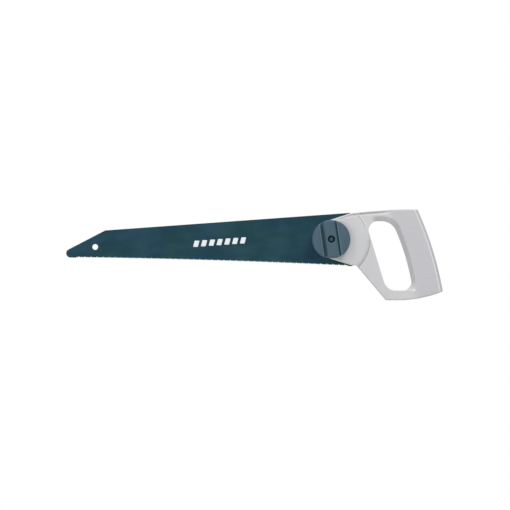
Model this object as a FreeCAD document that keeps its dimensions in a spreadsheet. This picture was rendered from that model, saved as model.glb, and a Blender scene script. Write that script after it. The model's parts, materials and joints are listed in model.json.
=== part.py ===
import FreeCAD, Part
import math
import os
import re
import Sketcher

# Adjustable hand saw with a cast D-shaped handle and a blade that swings to nine angles.
#
# Every sub-part is drawn about the pivot: X runs along the saw with the blade towards -X,
# Z is up, and Y points away from the side with the knob. One shared placement then moves
# the pivot, so that the frame's origin is the middle of the hand grip.
# All sizes are millimetres, and all angles are degrees.

SIZES = [
    ("grip_reach", 122.0, "pivot to the middle of the hand grip, along X"),
    ("grip_drop", 20.0, "pivot down to the middle of the hand grip"),
    ("blade_thick", 1.0, "steel sheet of the blade"),
    ("blade_half", 35.0, "straight back of the blade to the pivot"),
    ("tooth_lower", 1.2, "tooth line further from the pivot than the back"),
    ("heel_longer", 11.0, "round end of the blade further from the pivot than the back"),
    ("back_slope", 4.1, "fall of the blade's back towards the tip"),
    ("tooth_slope", 1.7, "rise of the tooth line towards the tip"),
    ("nose_reach", 315.7, "pivot to the corner where the back turns down"),
    ("nose_slope", 27.4, "fall of the blade's nose"),
    ("tip_radius", 6.0, "round tip of the blade"),
    ("corner_radius", 4.0, "rounded corner between back and nose"),
    ("tooth_pitch", 2.82, "nine teeth to the inch"),
    ("tooth_depth", 1.3, "tooth line to the bottom of a gullet"),
    ("tooth_land", 0.3, "flat left between two gullets"),
    ("tooth_lean", 1.0, "how far a gullet's bottom sits from its steep side"),
    ("tooth_start", 40.8, "nose corner to the first gullet, along X"),
    ("hang_reach", 14.0, "nose corner to the hanging hole, along X"),
    ("hang_drop", 10.8, "pivot down to the hanging hole"),
    ("hang_radius", 4.0, "hanging hole"),
    ("index_circle", 17.0, "radius of the ring of locking holes and of the pegs"),
    ("index_gap", 0.2, "air around a peg in the blade's locking hole"),
    ("index_count", 16, "locking holes in the ring, one each 22.5 degrees"),
    ("grip_thick", 22.0, "handle across, at the grip"),
    ("boss_rise", 2.5, "raised front boss above the handle's face"),
    ("boss_edge", 4.5, "slot's end to the edge of the boss's face"),
    ("nose_inset", 9.0, "blade's back above the round front end of the two cheeks"),
    ("nose_flare", 17.5, "spread of the cheeks behind their round end"),
    ("cheek_cover", 2.0, "cheeks above the blade's round end"),
    ("slot_gap", 0.25, "air on each side of the blade in its slot"),
    ("heel_gap", 1.0, "air around the blade's end and beside it when it stands upright"),
    ("arm_wall", 8.8, "slot's end to the finger opening, at the pivot's height"),
    ("opening_width", 37.3, "finger opening, front to back"),
    ("opening_top", 25.3, "pivot up to the top of the finger opening"),
    ("hand_room", 96.4, "height of the finger opening"),
    ("grip_depth", 40.8, "grip, front to back"),
    ("grip_bow", 3.8, "outward bow of the grip's two sides"),
    ("handle_rake", 17.0, "lean of the grip and of the opening's front side"),
    ("top_bar", 16.6, "bar above the finger opening"),
    ("base_bar", 14.2, "bar below the finger opening"),
    ("top_bow", 1.2, "bow of the handle's top edge"),
    ("heel_rise", 12.4, "rise of the handle's underside at the back"),
    ("base_flat", 22.8, "flat of the underside, in front of where it rises"),
    ("base_lead", 4.68, "underside's front end ahead of the opening's leaning front side"),
    ("arm_step", 6.3, "flat under the cheeks in front of the arm"),
    ("front_corner", 12.5, "opening's upper front corner"),
    ("finger_corner", 24.0, "opening's upper back corner"),
    ("heel_corner", 11.0, "opening's lower back corner"),
    ("arm_corner", 17.0, "opening's lower front corner"),
    ("outer_corner", 2.0, "outside corners of the handle"),
    ("opening_round", 6.0, "rounded rim of the finger opening"),
    ("outer_round", 1.6, "rounded outer edges of the handle"),
    ("plate_gap", 0.4, "air around the locking plate in its round recess"),
    ("recess_floor", 6.0, "blade's middle to the recess's floor"),
    ("spring_floor", 3.0, "blade's middle to the floor under the spring"),
    ("spring_slip", 1.1, "air between the pivot bush and the spring around it"),
    ("spring_room", 1.1, "air around the spring in its pocket"),
    ("spring_wire", 1.0, "diameter of the spring's wire"),
    ("spring_turns", 2.5, "turns of the spring"),
    ("bush_radius", 6.0, "outside of the pivot bush"),
    ("bush_seat", 5.0, "blade's middle to the bush's back end"),
    ("running_gap", 0.05, "radial clearance where pieces turn or slide"),
    ("bolt_radius", 4.0, "pivot bolt"),
    ("bolt_head", 10.0, "radius of the bolt's domed head"),
    ("bolt_dome", 4.6, "height of the domed head"),
    ("neck_step", 0.2, "square neck beyond the bolt, on each side"),
    ("neck_depth", 5.0, "length of the square neck"),
    ("neck_gap", 0.1, "air around the square neck"),
    ("thread_pitch", 1.25, "advance of the knob in one turn"),
    ("peg_radius", 2.0, "locking peg"),
    ("peg_clear", 0.35, "pegs to the blade with the knob one turn slack"),
    ("seat_gap", 0.1, "plate to the recess's floor with the knob tight"),
    ("plate_edge", 1.6, "locking plate outside its pegs"),
    ("plate_thick", 2.5, "locking plate"),
    ("washer_radius", 11.0, "thrust washer under the knob"),
    ("washer_thick", 1.5, "thrust washer under the knob"),
    ("washer_gap", 0.1, "air between the thrust washer and the knob's hub"),
    ("knob_radius", 26.6, "knob"),
    ("knob_height", 17.0, "knob from its rim to its face"),
    ("knob_gap", 0.3, "knob to the boss with the knob tight"),
    ("knob_round", 3.0, "rounded edge of the knob's face"),
    ("knob_hub", 13.0, "radius of the hub that stands into the recess"),
    ("knob_bar", 15.5, "width of the knob's grip bar"),
    ("bar_tilt", 8.5, "lean of the grip bar"),
    ("scoop_radius", 22.6, "outer arc of the two finger scoops"),
    ("scoop_depth", 9.0, "depth of the finger scoops"),
    ("sleeve_radius", 7.0, "threaded insert in the knob"),
    ("sleeve_length", 13.0, "threaded insert in the knob"),
    ("bolt_window", 5.0, "hole in the knob's face over the bolt's end"),
    ("bolt_sink", 2.0, "bolt's end below the knob's face"),
]

doc = FreeCAD.newDocument("adjustable_hand_saw")
sheet = doc.addObject("Spreadsheet::Sheet", "Sizes")


def fill_sheet():
    """Writes one row per size: its name, its value under an alias, and what it is."""
    for row, (alias, size, meaning) in enumerate(SIZES, start=1):
        sheet.set(f"A{row}", alias)
        sheet.set(f"B{row}", str(size))
        sheet.set(f"C{row}", meaning)
        sheet.setAlias(f"B{row}", alias)
    doc.recompute()


def cells(formula):
    """Puts the sheet's name before each alias, and an alias always holds an underscore."""
    return re.sub(r"[a-z]+(?:_[a-z]+)+", lambda word: "Sizes." + word.group(), formula)


def value(formula):
    """The number that a formula of aliases has now."""
    return float(sheet.evalExpression(cells(formula)))


def bind(thing, field, formula):
    """Ties one property of a feature to the sheet."""
    thing.setExpression(field, cells(formula))


# Places along Y, worked out from the blade's middle towards the knob (negative Y).
BOSS_FACE = "(grip_thick / 2 + boss_rise)"
PLATE_BACK = "(recess_floor + seat_gap + thread_pitch)"
PLATE_FRONT = f"({PLATE_BACK} + plate_thick)"
WASHER_FRONT = f"({PLATE_FRONT} + washer_thick)"
HUB_END = f"({WASHER_FRONT} + washer_gap)"
KNOB_RIM = f"({BOSS_FACE} + knob_gap + thread_pitch)"
KNOB_FACE = f"({KNOB_RIM} + knob_height)"
PEG_END = "(blade_thick / 2 + peg_clear)"
SLOT_HALF = "(blade_thick / 2 + slot_gap)"
PLATE_RADIUS = "(index_circle + peg_radius + plate_edge)"
SPRING_RADIUS = "(bush_radius + spring_slip + spring_wire / 2)"

# The blade's widths about the pivot.
TOOTH_HALF = "(blade_half + tooth_lower)"
HEEL_RADIUS = "(blade_half + heel_longer)"
FIRST_TOOTH = "(nose_reach + tooth_start)"

# Places of the handle's outline about the pivot.
SLOT_END = f"({HEEL_RADIUS} + heel_gap)"
SLOT_SIDE = f"({TOOTH_HALF} + heel_gap)"
OPENING_FRONT = f"({SLOT_END} + arm_wall)"
OPENING_BACK = f"({OPENING_FRONT} + opening_width)"
GRIP_BACK = f"({OPENING_BACK} + grip_depth)"
HANDLE_TOP = "(opening_top + top_bar)"
OPENING_FLOOR = "(hand_room - opening_top)"
HANDLE_DROP = f"({OPENING_FLOOR} + base_bar)"
HEEL_DROP = f"({HANDLE_DROP} - heel_rise)"
CHEEK_HEIGHT = "(blade_half + cheek_cover)"
NOSE_RADIUS = "(blade_half - nose_inset)"
BOSS_RADIUS = f"({SLOT_END} + boss_edge)"
BASE_FRONT = f"({OPENING_FRONT} + {HANDLE_DROP} * tan(handle_rake) - base_lead)"
BASE_BACK = f"({BASE_FRONT} + base_flat)"

# The blade's straight edges run on past the pivot to its round end.
BACK_RUN = f"sqrt({HEEL_RADIUS} * {HEEL_RADIUS} - blade_half * blade_half)"
TOOTH_RUN = f"sqrt({HEEL_RADIUS} * {HEEL_RADIUS} - {TOOTH_HALF} * {TOOTH_HALF})"


def leaning(reach, height):
    """X of a raked line at a height, from its X at the pivot's height."""
    return f"({reach} - ({height}) * tan(handle_rake))"


def flared(height):
    """X where a cheek's flared edge reaches a height above or below the pivot."""
    return f"(({height} - {NOSE_RADIUS} / cos(nose_flare)) / tan(nose_flare))"


def new_body(label):
    """A body for one sub-part, placed with the others by the pivot's place in the frame."""
    body = doc.addObject("PartDesign::Body", label)
    body.Label = label
    bind(body, "Placement.Base.x", "-grip_reach")
    bind(body, "Placement.Base.z", "grip_drop")
    return body


def new_sketch(body, name, plane="XZ_Plane"):
    """An empty sketch on one of the body's own origin planes."""
    sketch = body.newObject("Sketcher::SketchObject", name)
    origin_plane = [item for item in body.Origin.OriginFeatures if item.Role == plane][0]
    sketch.AttachmentSupport = [(origin_plane, "")]
    sketch.MapMode = "FlatFace"
    return sketch


def pin_point(sketch, element, end, place):
    """Holds one point of a sketch at formulas for its two coordinates."""
    for kind, formula in zip(("DistanceX", "DistanceY"), place):
        number = value(formula)
        rule = sketch.addConstraint(Sketcher.Constraint(kind, -1, 1, element, end, number))
        bind(sketch, f"Constraints[{rule}]", formula)


def add_loop(sketch, sides):
    """A closed outline. Each side is its starting point, and an arc adds a point on its way."""
    first = sketch.GeometryCount
    count = len(sides)
    points = [[spot(place) for place in side] for side in sides]
    ends = []
    for index, side in enumerate(points):
        ends.append(add_side(sketch, side, points[(index + 1) % count][0]))
    for index, side in enumerate(sides):
        following = (index + 1) % count
        joint = (first + index, ends[index][1], first + following, ends[following][0])
        sketch.addConstraint(Sketcher.Constraint("Coincident", *joint))
        pin_point(sketch, first + index, ends[index][0], side[0])
        if len(side) == 2:
            hold_arc(sketch, first + index, side[1])


def spot(place):
    """A point of a sketch, from formulas for its two coordinates."""
    return FreeCAD.Vector(value(place[0]), value(place[1]), 0)


def add_side(sketch, side, end):
    """Adds a line or an arc, and returns the numbers of its starting and finishing ends."""
    begin = side[0]
    if len(side) == 1:
        sketch.addGeometry(Part.LineSegment(begin, end), False)
        return 1, 2
    middle = side[1]
    turns_left = (middle - begin).cross(end - middle).z > 0
    if turns_left:
        sketch.addGeometry(Part.Arc(begin, middle, end), False)
        return 1, 2
    sketch.addGeometry(Part.Arc(end, middle, begin), False)
    return 2, 1


def hold_arc(sketch, element, place):
    """Makes an arc pass through a fixed point on its way."""
    mark = sketch.addGeometry(Part.Point(spot(place)), True)
    pin_point(sketch, mark, 1, place)
    sketch.addConstraint(Sketcher.Constraint("PointOnObject", mark, 1, element))


def add_circle(sketch, radius, place=("0", "0")):
    """A circle whose centre and radius are tied to the sheet."""
    centre = FreeCAD.Vector(value(place[0]), value(place[1]), 0)
    circle = Part.Circle(centre, FreeCAD.Vector(0, 0, 1), value(radius))
    element = sketch.addGeometry(circle, False)
    pin_point(sketch, element, 3, place)
    rule = sketch.addConstraint(Sketcher.Constraint("Radius", element, value(radius)))
    bind(sketch, f"Constraints[{rule}]", radius)


def shift_sketch(sketch, towards_knob):
    """Moves a sketch of the XZ plane along Y, and its normal points to the knob."""
    bind(sketch, "AttachmentOffset.Base.z", towards_knob)


def add_pad(body, name, sketch, length, backwards=False, symmetric=False):
    """Adds material from a sketch, towards the knob unless backwards."""
    pad = body.newObject("PartDesign::Pad", name)
    pad.Profile = sketch
    pad.Reversed = backwards
    if symmetric:
        pad.SideType = "Symmetric"
    bind(pad, "Length", length)
    doc.recompute()
    return pad


def add_pocket(body, name, sketch, length):
    """Cuts from a sketch away from the knob, and checks that material really went."""
    before = body.Shape.Volume
    pocket = body.newObject("PartDesign::Pocket", name)
    pocket.Profile = sketch
    bind(pocket, "Length", length)
    doc.recompute()
    if body.Shape.Volume > before - 1e-3:
        raise RuntimeError(f"{name} cut nothing")
    return pocket


def add_turned(body, name, sides):
    """A solid turned about the Y axis: sketch X is radius, and sketch Y is the frame's Y."""
    sketch = new_sketch(body, name + "_profile", "XY_Plane")
    add_loop(sketch, [((radius, along),) for radius, along in sides])
    turned = body.newObject("PartDesign::Revolution", name)
    turned.Profile = sketch
    turned.ReferenceAxis = (sketch, ["V_Axis"])
    turned.Angle = 360
    doc.recompute()
    return turned


def upright_edges(shape, x_formula, z_formula):
    """Names of the edges that run along Y through a corner of an outline."""
    x, z = value(x_formula), value(z_formula)
    names = []
    for number, edge in enumerate(shape.Edges, start=1):
        ends = [vertex.Point for vertex in edge.Vertexes]
        if all(math.hypot(point.x - x, point.z - z) < 0.05 for point in ends):
            names.append(f"Edge{number}")
    return names


def round_corner(body, name, place, radius):
    """Rounds an outline's corner right through the piece."""
    corner = body.newObject("PartDesign::Fillet", name)
    base = body.Group[-2]
    corner.Base = (base, upright_edges(base.Shape, *place))
    bind(corner, "Radius", radius)
    doc.recompute()
    return corner


# ---------------------------------------------------------------- blade

def blade_places():
    """The corners of the blade's outline, and the middle of its round end."""
    back_height = "(blade_half / cos(back_slope) - nose_reach * tan(back_slope))"
    tip_x = (
        f"-((nose_reach * tan(nose_slope) + {back_height} + {TOOTH_HALF} / cos(tooth_slope))"
        " / (tan(nose_slope) + tan(tooth_slope)))"
    )
    tip_z = f"(-({tip_x}) * tan(tooth_slope) - {TOOTH_HALF} / cos(tooth_slope))"
    return {
        "heel_low": (
            f"{TOOTH_RUN} * cos(tooth_slope) - {TOOTH_HALF} * sin(tooth_slope)",
            f"-({TOOTH_RUN} * sin(tooth_slope) + {TOOTH_HALF} * cos(tooth_slope))",
        ),
        "heel_end": (HEEL_RADIUS, "0"),
        "heel_top": (
            f"{BACK_RUN} * cos(back_slope) - blade_half * sin(back_slope)",
            f"{BACK_RUN} * sin(back_slope) + blade_half * cos(back_slope)",
        ),
        "nose": ("-nose_reach", back_height),
        "tip": (tip_x, tip_z),
    }


def make_blade():
    """Tapered steel blade with a round end, a ring of locking holes and a hanging hole."""
    body = new_body("blade")
    at = blade_places()
    outline = new_sketch(body, "blade_outline")
    sides = [(at["heel_low"], at["heel_end"]), (at["heel_top"],), (at["nose"],), (at["tip"],)]
    add_loop(outline, sides)
    add_pad(body, "blade_sheet", outline, "blade_thick", symmetric=True)
    round_corner(body, "blade_tip", at["tip"], "tip_radius")
    round_corner(body, "blade_corner", at["nose"], "corner_radius")
    cut_blade_holes(body)
    cut_teeth(body)
    return body


def cut_blade_holes(body):
    """Bore for the pivot bush, hanging hole, and the ring of locking holes."""
    bores = new_sketch(body, "blade_bores")
    shift_sketch(bores, "blade_thick")
    add_circle(bores, "bush_radius + running_gap")
    add_circle(bores, "hang_radius", ("-(nose_reach + hang_reach)", "-hang_drop"))
    add_pocket(body, "blade_bore_cut", bores, "blade_thick * 2")
    hole = new_sketch(body, "index_hole")
    shift_sketch(hole, "blade_thick")
    add_circle(hole, "peg_radius + index_gap", ("index_circle", "0"))
    cut = add_pocket(body, "index_cut", hole, "blade_thick * 2")
    ring = body.newObject("PartDesign::PolarPattern", "index_ring")
    ring.Originals = [cut]
    ring.Axis = (hole, ["N_Axis"])
    ring.Angle = 360
    bind(ring, "Occurrences", "index_count")
    body.Tip = ring
    doc.recompute()


def cut_teeth(body):
    """One gullet, repeated along the tooth line up to the round end."""
    gullet = new_sketch(body, "gullet")
    bind(gullet, "AttachmentOffset.Base.x", f"-{FIRST_TOOTH}")
    line_height = f"{FIRST_TOOTH} * tan(tooth_slope) - {TOOTH_HALF} / cos(tooth_slope)"
    bind(gullet, "AttachmentOffset.Base.y", line_height)
    shift_sketch(gullet, "blade_thick")
    bind(gullet, "AttachmentOffset.Rotation.Angle", "-tooth_slope")
    doc.recompute()
    low = "-tooth_land"
    sides = [
        (("0", low),),
        (("tooth_pitch - tooth_land", low),),
        (("tooth_pitch - tooth_land", "0"),),
        (("tooth_lean", "tooth_depth"),),
        (("0", "0"),),
    ]
    add_loop(gullet, sides)
    cut = add_pocket(body, "gullet_cut", gullet, "blade_thick * 2")
    row = body.newObject("PartDesign::LinearPattern", "tooth_row")
    row.Originals = [cut]
    row.Direction = (gullet, ["H_Axis"])
    count = f"floor(({FIRST_TOOTH} + {TOOTH_RUN}) / tooth_pitch)"
    bind(row, "Occurrences", f"{count} - 1")
    bind(row, "Length", f"({count} - 2) * tooth_pitch")
    body.Tip = row
    doc.recompute()


# ---------------------------------------------------------------- handle

def outer_loop():
    """The handle's outside: cheeks in front, top edge, grip's back, underside and arm."""
    top_back = leaning(GRIP_BACK, HANDLE_TOP)
    low_back = leaning(GRIP_BACK, f"-{HEEL_DROP}")
    shoulder = flared(CHEEK_HEIGHT)
    middle_x = f"(({top_back} + {low_back}) / 2 + grip_bow)"
    middle_z = f"(({HANDLE_TOP} - {HEEL_DROP}) / 2)"
    top_middle = (f"({shoulder} + {top_back}) / 2", f"({CHEEK_HEIGHT} + {HANDLE_TOP}) / 2 + top_bow")
    rise_middle = (f"({low_back} + {BASE_BACK}) / 2 + 1", f"-({HEEL_DROP} + {HANDLE_DROP}) / 2 - top_bow * 2")
    front = f"({NOSE_RADIUS} * sin(nose_flare))"
    side = f"({NOSE_RADIUS} * cos(nose_flare))"
    return [
        ((f"-{front}", f"{side}"),),
        ((shoulder, CHEEK_HEIGHT), top_middle),
        ((top_back, HANDLE_TOP), (middle_x, middle_z)),
        ((low_back, f"-{HEEL_DROP}"), rise_middle),
        ((BASE_BACK, f"-{HANDLE_DROP}"),),
        ((BASE_FRONT, f"-{HANDLE_DROP}"),),
        ((f"{shoulder} + arm_step", f"-{CHEEK_HEIGHT}"),),
        ((shoulder, f"-{CHEEK_HEIGHT}"),),
        ((f"-{front}", f"-{side}"), (f"-{NOSE_RADIUS}", "0")),
    ]


def opening_loop():
    """The finger opening: three straight sides, and the grip's bowed side."""
    floor = f"-{OPENING_FLOOR}"
    front_top = (leaning(OPENING_FRONT, "opening_top"), "opening_top")
    front_low = (leaning(OPENING_FRONT, floor), floor)
    back_low = (leaning(OPENING_BACK, floor), floor)
    back_top = (leaning(OPENING_BACK, "opening_top"), "opening_top")
    bow = (f"({back_low[0]} + {back_top[0]}) / 2 + grip_bow", f"(opening_top - {OPENING_FLOOR}) / 2")
    return [(front_top,), (front_low,), (back_low, bow), (back_top,)]


def make_casting():
    """One-piece cast handle with a slot for the blade and a stepped recess for the lock."""
    body = new_body("handle_casting")
    outside = outer_loop()
    opening = opening_loop()
    outline = new_sketch(body, "handle_outline")
    add_loop(outline, outside)
    add_loop(outline, opening)
    add_pad(body, "handle_plate", outline, "grip_thick", symmetric=True)
    corners = ["front_corner", "arm_corner", "heel_corner", "finger_corner"]
    for radius, side in zip(corners, opening):
        round_corner(body, f"round_{radius}", side[0], radius)
    for name, side in zip(["top_back", "low_back"], [outside[2], outside[3]]):
        round_corner(body, f"outer_{name}", side[0], "outer_corner")
    round_corner(body, "outer_base", outside[5][0], "outer_corner")
    round_rims(body)
    add_boss(body)
    cut_slot(body)
    cut_lock_seat(body)
    return body


def round_rims(body):
    """Rounds the finger opening's rim, then the outer edges, on both faces."""
    for name, radius, opening in (
        ("opening_rim", "opening_round", True),
        ("outer_rim", "outer_round", False),
    ):
        base = body.Group[-1]
        rim = body.newObject("PartDesign::Fillet", name)
        rim.Base = (base, rim_edges(base.Shape, opening))
        bind(rim, "Radius", radius)
        doc.recompute()


def rim_edges(shape, opening):
    """Names of the edges around the two flat faces: the opening's, or the outer ones."""
    half = value("grip_thick / 2")
    wanted = []
    for face in shape.Faces:
        box = face.BoundBox
        if box.YLength < 0.01 and abs(abs(box.YMin) - half) < 0.01:
            for wire in face.Wires:
                if wire.isSame(face.OuterWire) != opening:
                    wanted.extend(wire.Edges)
    numbered = enumerate(shape.Edges, start=1)
    return [f"Edge{number}" for number, edge in numbered if any(edge.isSame(other) for other in wanted)]


def add_boss(body):
    """Raised front boss about the pivot, as wide as the cheeks, with a leaning edge."""
    boss = new_sketch(body, "boss_outline")
    front = f"({NOSE_RADIUS} * sin(nose_flare))"
    side = f"({NOSE_RADIUS} * cos(nose_flare))"
    height = f"({CHEEK_HEIGHT} - outer_round)"
    reach = f"sqrt({BOSS_RADIUS} * {BOSS_RADIUS} - {height} * {height})"
    sides = [
        ((f"-{front}", side),),
        ((flared(height), height),),
        ((reach, height), (BOSS_RADIUS, "0")),
        ((reach, f"-{height}"),),
        ((flared(height), f"-{height}"),),
        ((f"-{front}", f"-{side}"), (f"-{NOSE_RADIUS}", "0")),
    ]
    add_loop(boss, sides)
    shift_sketch(boss, "grip_thick / 2 - opening_round")
    add_pad(body, "boss", boss, "boss_rise + opening_round")


def cut_slot(body):
    """Thin slot that lets the blade swing up and down between the cheeks."""
    slot = new_sketch(body, "slot_outline")
    far = f"({HANDLE_DROP} + {HANDLE_TOP})"
    bend = f"sqrt({SLOT_END} * {SLOT_END} - {SLOT_SIDE} * {SLOT_SIDE})"
    sides = [
        ((f"-{far}", f"-{far}"),),
        ((SLOT_SIDE, f"-{far}"),),
        ((SLOT_SIDE, f"-{bend}"), (SLOT_END, "0")),
        ((SLOT_SIDE, bend),),
        ((SLOT_SIDE, far),),
        ((f"-{far}", far),),
    ]
    add_loop(slot, sides)
    shift_sketch(slot, SLOT_HALF)
    add_pocket(body, "blade_slot", slot, f"2 * {SLOT_HALF}")


def cut_lock_seat(body):
    """Stepped recess for plate and spring, peg guides, bush seat and the bolt's square hole."""
    recess = new_sketch(body, "recess_circle")
    shift_sketch(recess, BOSS_FACE)
    add_circle(recess, f"{PLATE_RADIUS} + plate_gap")
    add_pocket(body, "plate_recess", recess, f"{BOSS_FACE} - recess_floor")
    well = new_sketch(body, "spring_circle")
    shift_sketch(well, "recess_floor")
    add_circle(well, f"{SPRING_RADIUS} + spring_wire / 2 + spring_room")
    add_pocket(body, "spring_well", well, "recess_floor - spring_floor")
    guides = new_sketch(body, "peg_guides")
    shift_sketch(guides, "recess_floor")
    for side in ("index_circle", "-index_circle"):
        add_circle(guides, "peg_radius + running_gap", (side, "0"))
    add_pocket(body, "peg_guide_holes", guides, "recess_floor")
    seat = new_sketch(body, "bush_circle")
    shift_sketch(seat, "recess_floor")
    add_circle(seat, "bush_radius")
    add_pocket(body, "bush_seat_bore", seat, "recess_floor + bush_seat")
    bolt = new_sketch(body, "bolt_circle")
    add_circle(bolt, "bolt_radius + neck_gap")
    add_pocket(body, "bolt_hole", bolt, "grip_thick")
    neck = new_sketch(body, "neck_square")
    shift_sketch(neck, "neck_depth - grip_thick / 2")
    half = "(bolt_radius + neck_step + neck_gap)"
    corners = [(f"-{half}", f"-{half}"), (half, f"-{half}"), (half, half), (f"-{half}", half)]
    add_loop(neck, [(corner,) for corner in corners])
    add_pocket(body, "neck_hole", neck, "neck_depth * 2")


# ---------------------------------------------------------------- pivot and lock

def make_bush():
    """Steel bush that the blade turns on, pressed into the back cheek."""
    body = new_body("pivot_bush")
    hole = "bolt_radius + neck_gap"
    sides = [
        (hole, "-spring_floor"),
        ("bush_radius", "-spring_floor"),
        ("bush_radius", "bush_seat"),
        (hole, "bush_seat"),
    ]
    add_turned(body, "bush", sides)
    return body


def make_bolt():
    """Pivot bolt: domed head on the back, square neck, and a stem that reaches the knob."""
    body = new_body("pivot_bolt")
    back = "grip_thick / 2"
    tip = f"(bolt_sink - {KNOB_FACE})"
    sides = [
        ("0", tip),
        ("bolt_radius - thread_pitch / 2", tip),
        ("bolt_radius", f"{tip} + thread_pitch / 2"),
        ("bolt_radius", back),
        ("bolt_head", back),
        ("bolt_head", f"{back} + bolt_dome / 5"),
        ("bolt_head * 0.72", f"{back} + bolt_dome * 0.8"),
        ("0", f"{back} + bolt_dome"),
    ]
    add_turned(body, "bolt_stem", sides)
    neck = new_sketch(body, "neck_outline")
    shift_sketch(neck, f"-{back}")
    half = "(bolt_radius + neck_step)"
    corners = [(f"-{half}", f"-{half}"), (half, f"-{half}"), (half, half), (f"-{half}", half)]
    add_loop(neck, [(corner,) for corner in corners])
    add_pad(body, "bolt_neck", neck, "neck_depth")
    return body


def make_spring():
    """Coil spring that pushes the locking plate out of the blade."""
    first_turn = value("spring_floor + spring_wire / 2")
    length = f"({PLATE_BACK} - spring_floor - spring_wire)"
    helix = doc.addObject("Part::Helix", "spring_path")
    bind(helix, "Pitch", f"{length} / spring_turns")
    bind(helix, "Height", length)
    bind(helix, "Radius", SPRING_RADIUS)
    wire = doc.addObject("Part::Circle", "spring_section")
    bind(wire, "Radius", "spring_wire / 2")
    bind(wire, "Placement.Base.x", SPRING_RADIUS)
    wire.Placement.Rotation = FreeCAD.Rotation(FreeCAD.Vector(1, 0, 0), 90)
    spring = doc.addObject("Part::Sweep", "release_spring")
    spring.Label = "release_spring"
    spring.Sections = [wire]
    spring.Spine = (helix, [])
    spring.Solid = True
    spring.Frenet = True
    turn = FreeCAD.Rotation(FreeCAD.Vector(1, 0, 0), 90)
    spring.Placement = FreeCAD.Placement(FreeCAD.Vector(0, -first_turn, 0), turn)
    bind(spring, "Placement.Base.x", "-grip_reach")
    bind(spring, "Placement.Base.y", "-(spring_floor + spring_wire / 2)")
    bind(spring, "Placement.Base.z", "grip_drop")
    doc.recompute()
    return spring


def make_plate():
    """Round locking plate, with a hole for the bolt and two for the pegs."""
    body = new_body("locking_plate")
    outline = new_sketch(body, "plate_outline")
    shift_sketch(outline, PLATE_BACK)
    add_circle(outline, PLATE_RADIUS)
    add_circle(outline, "bolt_radius + neck_gap")
    for side in ("index_circle", "-index_circle"):
        add_circle(outline, "peg_radius", (side, "0"))
    add_pad(body, "plate", outline, "plate_thick")
    return body


def make_peg(label, side):
    """Locking peg, pressed into the plate, that drops into one hole of the blade's ring."""
    peg = doc.addObject("Part::Cylinder", label)
    peg.Label = label
    bind(peg, "Radius", "peg_radius")
    bind(peg, "Height", f"{PLATE_FRONT} - {PEG_END}")
    peg.Placement.Rotation = FreeCAD.Rotation(FreeCAD.Vector(1, 0, 0), 90)
    bind(peg, "Placement.Base.x", f"{side} - grip_reach")
    bind(peg, "Placement.Base.y", f"-{PEG_END}")
    bind(peg, "Placement.Base.z", "grip_drop")
    return peg


def make_washer():
    """Steel thrust washer between the plate and the knob's hub."""
    body = new_body("thrust_washer")
    outline = new_sketch(body, "washer_outline")
    shift_sketch(outline, PLATE_FRONT)
    add_circle(outline, "washer_radius")
    add_circle(outline, "bolt_radius + neck_gap")
    add_pad(body, "washer", outline, "washer_thick")
    return body


# ---------------------------------------------------------------- knob

def make_knob():
    """Moulded knob: a round cap with a hub behind and two finger scoops beside a grip bar."""
    body = new_body("knob_moulding")
    sides = [
        ("sleeve_radius", f"-{HUB_END}"),
        ("knob_hub", f"-{HUB_END}"),
        ("knob_hub", f"-{KNOB_RIM}"),
        ("knob_radius", f"-{KNOB_RIM}"),
        ("knob_radius", f"knob_round - {KNOB_FACE}"),
        ("knob_radius - knob_round", f"-{KNOB_FACE}"),
        ("bolt_window", f"-{KNOB_FACE}"),
        ("bolt_window", f"-({HUB_END} + sleeve_length)"),
        ("sleeve_radius", f"-({HUB_END} + sleeve_length)"),
    ]
    add_turned(body, "knob_cap", sides)
    scoop = new_sketch(body, "scoop_outline")
    shift_sketch(scoop, KNOB_FACE)
    bind(scoop, "AttachmentOffset.Rotation.Angle", "bar_tilt")
    doc.recompute()
    chord = "(knob_bar / 2)"
    reach = f"sqrt(scoop_radius * scoop_radius - {chord} * {chord})"
    sides = [((chord, f"-{reach}"), ("scoop_radius", "0")), ((chord, reach),)]
    add_loop(scoop, sides)
    cut = add_pocket(body, "scoop", scoop, "scoop_depth")
    pair = body.newObject("PartDesign::PolarPattern", "scoop_pair")
    pair.Originals = [cut]
    pair.Axis = (scoop, ["N_Axis"])
    pair.Angle = 360
    pair.Occurrences = 2
    body.Tip = pair
    doc.recompute()
    return body


def make_sleeve():
    """Threaded insert moulded into the knob, which screws along the bolt."""
    body = new_body("knob_insert")
    hole = "bolt_radius + running_gap"
    sides = [
        (hole, f"-{HUB_END}"),
        ("sleeve_radius", f"-{HUB_END}"),
        ("sleeve_radius", f"-({HUB_END} + sleeve_length)"),
        (hole, f"-({HUB_END} + sleeve_length)"),
    ]
    add_turned(body, "insert", sides)
    return body


def write_parts(pieces):
    """Stops at any failed object or bad shape, then writes one file for each sub-part."""
    doc.recompute()
    for thing in doc.Objects:
        if "Invalid" in thing.State or "Error" in thing.State:
            raise RuntimeError(f"{thing.Name} failed: {thing.State}")
    os.makedirs("parts", exist_ok=True)
    for piece in pieces:
        if piece.Shape.isNull() or not piece.Shape.isValid() or len(piece.Shape.Solids) != 1:
            raise RuntimeError(f"{piece.Label} isn't one valid solid")
        piece.Shape.exportStep(f"parts/{piece.Label}.step")
        print(piece.Label, round(piece.Shape.Volume / 1000, 2), "cm3")


fill_sheet()
write_parts([
    make_blade(),
    make_casting(),
    make_bush(),
    make_bolt(),
    make_spring(),
    make_plate(),
    make_peg("locking_peg_left", "-index_circle"),
    make_peg("locking_peg_right", "index_circle"),
    make_washer(),
    make_knob(),
    make_sleeve(),
])
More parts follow.
